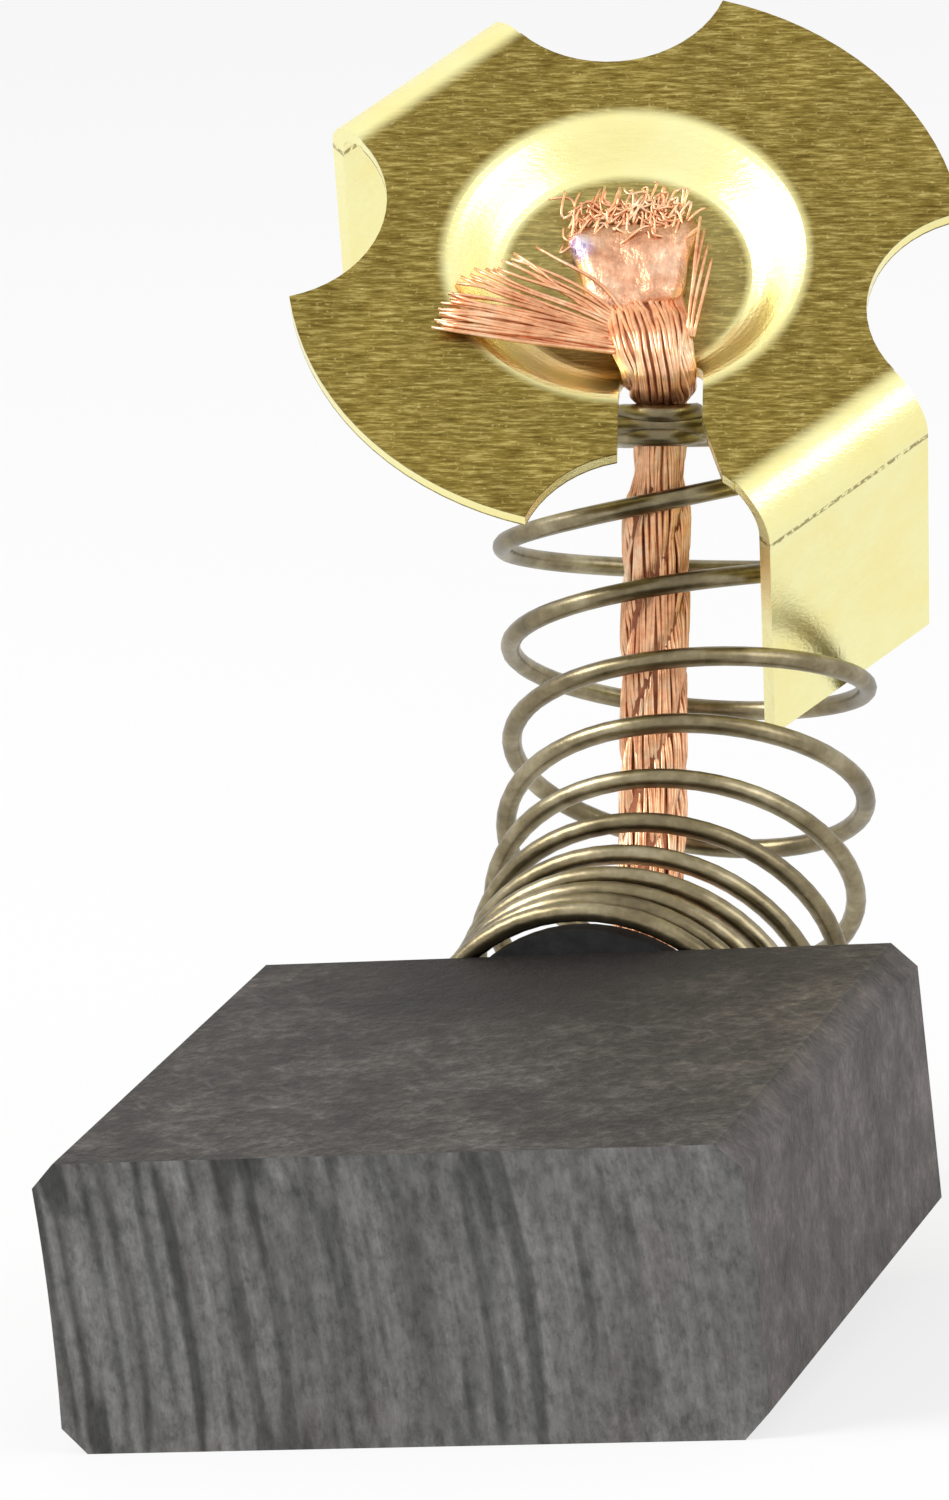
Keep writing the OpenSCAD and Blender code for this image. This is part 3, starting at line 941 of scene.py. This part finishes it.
    def build_rope(self, wire: bpy.types.Material, core: bpy.types.Material) -> bpy.types.Object:
        """Returns the rope: a core painted dark as shade, with a layer of fine wires on it."""
        rng = random.Random(self.seed)
        parts = []
        shaded = []
        for s in self.stations:
            width, height = max(0.05, s.half_width - 0.16), max(0.04, s.half_height - 0.13)
            shaded.append(lying_section(self.brush, s.middle, s.side, s.upper, width, height))
        body = sweep(shaded, self.core_sides)
        for f in body.faces:
            f.material_index = 1
        parts.append(body)
        visible = self.stations[self.first_visible:]
        for i in range(self.wires):
            base = 2 * math.pi * (i + rng.uniform(-0.25, 0.25)) / self.wires
            wander = rng.uniform(0, 2 * math.pi)
            pace = rng.uniform(0.5, 1.1)
            sink = rng.uniform(0, 0.05)
            path = []
            for s in visible:
                angle = base + 0.07 * math.sin(pace * s.travelled + wander) + 0.035 * s.travelled
                depth = self.wire_r + sink + 0.03 * (1 + math.sin(2.3 * pace * s.travelled + 2 * wander)) / 2
                path.append(self.point(s, angle, depth))
            parts.append(self.tube(path, [self.wire_r] * len(path)))
        return finish_piece("copper_rope", parts, [wire, core])

    def build_weld(self, weld: bpy.types.Material) -> bpy.types.Object:
        """Returns the rope's pressed and welded end on the dish's floor."""
        rng = random.Random(self.seed + 1)
        bm = bmesh.new()
        bmesh.ops.create_grid(bm, x_segments=26, y_segments=22, size=1.0)
        made = bmesh.ops.extrude_face_region(bm, geom=list(bm.faces))["geom"]
        top = [g for g in made if isinstance(g, bmesh.types.BMVert)]
        bmesh.ops.translate(bm, vec=(0, 0, 1), verts=top)
        floor = -self.brush.dish_depth + 0.012
        for v in bm.verts:
            x, y, up = v.co
            ragged = 1 - 0.04 * math.sin(5 * x + 1) - 0.04 * math.cos(4.3 * y)
            square = 1 - 0.08 * (x * x * y * y)
            px = 0.17 - 0.09 * y + x * (1.43 + 0.31 * y) * square * ragged
            py = 0.15 + 1.35 * y * square * ragged + 0.18 * x
            rim = max(abs(x), abs(y))
            waves = 0.045 * math.sin(7.1 * x + 2.2 * y) + 0.04 * math.cos(6.3 * y - 3.1 * x)
            lumps = waves + rng.uniform(-0.012, 0.012)
            height = (0.52 + lumps) * (1 - 0.35 * ease((rim - 0.8) / 0.2)) * (1 - 0.3 * ease((y - 0.2) / 0.8))
            v.co = self.seat.at(px, py, floor + up * height)
        lie = Matrix.Rotation(self.brush.slope, 4, "X") @ Matrix.Scale(MM, 4)
        bmesh.ops.transform(bm, matrix=lie, verts=bm.verts)
        bmesh.ops.recalc_face_normals(bm, faces=bm.faces)
        return finish_piece("weld_patch", [bm], [weld])

    def strand(
        self, start: Point, end: Point, rise: float, rng: random.Random, radius: float, sway: float = 0.12
    ) -> bmesh.types.BMesh:
        """Returns one loose wire between two places on the cap, with a slight wave.

        Args:
            start: where it leaves the rope, on the disc.
            end: where its tip is, on the disc.
            rise: how high its middle arches.
            rng: the source of its wave.
            radius: its radius at the start.
            sway: how far its middle may stray sideways.

        Returns:
            The wire.
        """
        bow = rng.uniform(-sway, sway)
        curl = rng.uniform(-sway, sway) * 0.5
        path = []
        for i in range(self.strand_steps + 1):
            f = i / self.strand_steps
            place = [mix(a, b, f) for a, b in zip(start, end)]
            place[0] += (bow * 0.6 + curl * math.cos(math.pi * f)) * math.sin(math.pi * f)
            place[1] += bow * math.sin(math.pi * f) + curl * math.sin(2 * math.pi * f)
            place[2] += rise * 4 * f * (1 - f)
            path.append(self.seat.at(*place))
        radii = [radius * mix(1, 0.8, i / self.strand_steps) for i in range(self.strand_steps + 1)]
        return self.tube(path, radii)

    def build_loose(self, wire: bpy.types.Material) -> bpy.types.Object:
        """Returns the wires that missed the weld: a bundle, a fan, a fringe and a few long ones."""
        rng = random.Random(self.seed + 2)
        parts = []
        for i in range(self.bundle_wires):
            f = i / (self.bundle_wires - 1)
            start = (
                rng.uniform(-0.15, 0.1),
                mix(-3.1, -2.35, f),
                mix(-0.02, -0.3, f) + rng.uniform(-0.08, 0.08),
            )
            end = (-4.65 + 0.3 * f + rng.uniform(-0.2, 0.3), mix(-2.5, -1.4, f), rng.uniform(0.0, 0.28))
            parts.append(self.strand(start, end, 0.1, rng, 0.055))
        for i in range(self.fan_wires):
            f = i / (self.fan_wires - 1)
            start = (rng.uniform(-0.2, 0.05), mix(-2.55, -1.7, f), mix(-0.2, -0.42, f))
            end = (
                mix(-4.15, -2.35, f) + rng.uniform(-0.3, 0.2),
                mix(-0.85, 0.3, f) + rng.uniform(-0.2, 0.15),
                -0.05 - 0.2 * f,
            )
            parts.append(self.strand(start, end, 0.15, rng, 0.052, 0.18))
        for _ in range(self.fringe_wires):
            f = rng.random()
            low = 0.85 + rng.random() * 1.15
            start = (mix(-1.5, 1.6, f), low - 0.7 * (f - 0.5) ** 2, -0.66 + rng.uniform(0.0, 0.08))
            lean = math.radians(rng.gauss(8, 40))
            reach = rng.uniform(0.3, 0.85)
            end = (
                start[0] - reach * math.sin(lean),
                start[1] + reach * math.cos(lean),
                -0.7 + rng.uniform(0.0, 0.28),
            )
            parts.append(self.strand(start, end, rng.uniform(0.02, 0.14), rng, 0.04, 0.3))
        for i in range(self.long_wires):
            start = (1.55 + 0.06 * i, -2.5, -0.15)
            end = (1.85 + 0.1 * i, 1.4 - 0.45 * i, -0.3)
            parts.append(self.strand(start, end, 0.22, rng, 0.05))
        return finish_piece("loose_wires", parts, [wire])


# ---- Studio ----


@dataclass
class Studio:
    """The floor, the soft lights and the camera."""

    brush: Brush
    eye: Point = (73.79, -234.03, 72.14)
    right: Point = (0.95615, 0.27163, -0.10948)
    up: Point = (0.03934, 0.25133, 0.96710)
    lens: float = 259.05
    sensor: float = 36.0
    floor_white: float = 0.86
    floor_glow: float = 0.75
    world_strength: float = 0.55
    seen_strength: float = 1.0

    def set_camera(self) -> None:
        """Puts up the camera."""
        data = bpy.data.cameras.new("camera")
        data.sensor_fit = "VERTICAL"
        data.sensor_height = self.sensor
        data.lens = self.lens
        data.clip_start = 0.01
        data.clip_end = 10
        camera = bpy.data.objects.new("camera", data)
        right = self.brush.turned(Vector(self.right).normalized())
        up = self.brush.turned(Vector(self.up))
        up = (up - right * up.dot(right)).normalized()
        back = right.cross(up)
        eye = self.brush.placed(Vector(self.eye))
        rows = [[right[i], up[i], back[i], eye[i]] for i in range(3)] + [[0, 0, 0, 1]]
        camera.matrix_world = Matrix(rows)
        bpy.context.scene.collection.objects.link(camera)
        bpy.context.scene.camera = camera

    def set_floor(self) -> None:
        """Lays the pale floor under the brush."""
        bm = bmesh.new()
        bmesh.ops.create_grid(bm, x_segments=1, y_segments=1, size=2.0)
        bmesh.ops.translate(bm, vec=(0, 0, CAD_BOX[0][2]), verts=bm.verts)
        floor = finish_piece("floor", [bm], [self.pale()], smooth=False)
        floor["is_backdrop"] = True

    @staticmethod
    def seen_directly(tree: bpy.types.NodeTree) -> Socket:
        """Returns 1 for rays from the camera and off shiny faces, and 0 for all others."""
        path = tree.nodes.new("ShaderNodeLightPath")
        seen = tree.nodes.new("ShaderNodeMath")
        seen.operation = "MAXIMUM"
        tree.links.new(path.outputs["Is Camera Ray"], seen.inputs[0])
        tree.links.new(path.outputs["Is Glossy Ray"], seen.inputs[1])
        return seen.outputs[0]

    def pale(self) -> bpy.types.Material:
        """Returns the floor's finish: a matt white that the camera sees a little brighter."""
        material = bpy.data.materials.new("pale_floor")
        material.use_nodes = True
        tree = material.node_tree
        shader = tree.nodes["Principled BSDF"]
        shader.inputs["Base Color"].default_value = grey(self.floor_white)
        shader.inputs["Roughness"].default_value = 0.9
        glow = tree.nodes.new("ShaderNodeEmission")
        glow.inputs["Color"].default_value = grey(1.0)
        part = tree.nodes.new("ShaderNodeMath")
        part.operation = "MULTIPLY"
        part.inputs[1].default_value = self.floor_glow
        tree.links.new(self.seen_directly(tree), part.inputs[0])
        mixer = tree.nodes.new("ShaderNodeMixShader")
        tree.links.new(part.outputs[0], mixer.inputs["Fac"])
        tree.links.new(shader.outputs["BSDF"], mixer.inputs[1])
        tree.links.new(glow.outputs["Emission"], mixer.inputs[2])
        tree.links.new(mixer.outputs["Shader"], tree.nodes["Material Output"].inputs["Surface"])
        return material

    def set_world(self) -> None:
        """Sets the white surroundings and their softer light."""
        world = bpy.data.worlds.new("surroundings")
        bpy.context.scene.world = world
        world.use_nodes = True
        tree = world.node_tree
        base = tree.nodes["Background"]
        base.inputs["Color"].default_value = grey(1.0)
        base.inputs["Strength"].default_value = self.world_strength
        seen = tree.nodes.new("ShaderNodeBackground")
        seen.inputs["Color"].default_value = grey(1.0)
        seen.inputs["Strength"].default_value = self.seen_strength
        mixer = tree.nodes.new("ShaderNodeMixShader")
        tree.links.new(self.seen_directly(tree), mixer.inputs["Fac"])
        tree.links.new(base.outputs["Background"], mixer.inputs[1])
        tree.links.new(seen.outputs["Background"], mixer.inputs[2])
        tree.links.new(mixer.outputs["Shader"], tree.nodes["World Output"].inputs["Surface"])

    def set_light(self, name: str, place: Point, size: float, power: float) -> None:
        """Puts up one soft square light that faces the brush."""
        data = bpy.data.lights.new(name, "AREA")
        data.shape = "SQUARE"
        data.size = size
        data.energy = power
        light = bpy.data.objects.new(name, data)
        light.location = place
        aim = Vector((0, 0.008, 0.01)) - Vector(place)
        light.rotation_euler = aim.to_track_quat("-Z", "Y").to_euler()
        bpy.context.scene.collection.objects.link(light)

    def set_up(self) -> None:
        """Puts up everything."""
        self.set_camera()
        self.set_floor()
        self.set_world()
        self.set_light("left_light", (-0.30, -0.12, 0.34), 0.22, 1.6)
        self.set_light("right_light", (0.36, -0.10, 0.22), 0.24, 0.45)
        bpy.context.scene.view_settings.view_transform = "Standard"


def paint(node: str, material: bpy.types.Material) -> None:
    """Gives a CAD node one material."""
    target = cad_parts[node]
    target.data.materials.clear()
    target.data.materials.append(material)


def main() -> None:
    """Builds the pieces in order, dresses them and sets them in the studio."""
    logging.basicConfig(level=logging.INFO)
    brush = Brush()
    seat = CapSeat(brush)
    route = Bezier(
        (ORIGIN, Vector((0, 8.05, 0)), Vector((-1.07, 11.29, 5.55)), Vector((0.13, 11.85, 13.93)))
    )
    studio = Studio(brush)
    studio.set_up()

    carbon = CarbonFinish(brush)
    copper = CopperFinish()
    copper_wire = copper.make()
    block = CarbonBlock(brush).build(carbon.make(), carbon.make_worn())
    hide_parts("carbon_block")
    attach(block, "brush")
    LOG.info("block built")

    spring = CoilSpring(brush, route).build(SpringFinish().make())
    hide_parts("coil_spring")

    pigtail = Pigtail(brush, seat, route)
    pigtail.lay_out()
    rope = pigtail.build_rope(copper_wire, copper.make_painted_shade_core())
    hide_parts("pigtail")
    weld = pigtail.build_weld(copper.make_weld(seat))
    loose = pigtail.build_loose(copper_wire)
    LOG.info("weld and loose wires built")
    for piece in (weld, loose):
        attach(piece, "terminal")

    start = brush.placed(brush.back + Vector((0, 4, 2)))
    end = brush.placed(brush.back + Vector((0.2, 11.0, 12.0)))
    for piece in (spring, rope):
        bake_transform(piece)
    LOG.info("spring and pigtail built")

    paint("terminal_cap", BrassFinish(seat).make())
    paint("insulating_washer", WasherFinish().make())
    # the tamping plug, deep in its hole, gets the same dark copper painted as shade
    paint("tamping_plug", copper.make_painted_shade_core())
    boxes = {"cad": CAD_BOX, "visual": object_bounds()}
    for name, values in boxes.items():
        LOG.info("%s box %s", name, values)


if __name__ == "__main__":
    main()
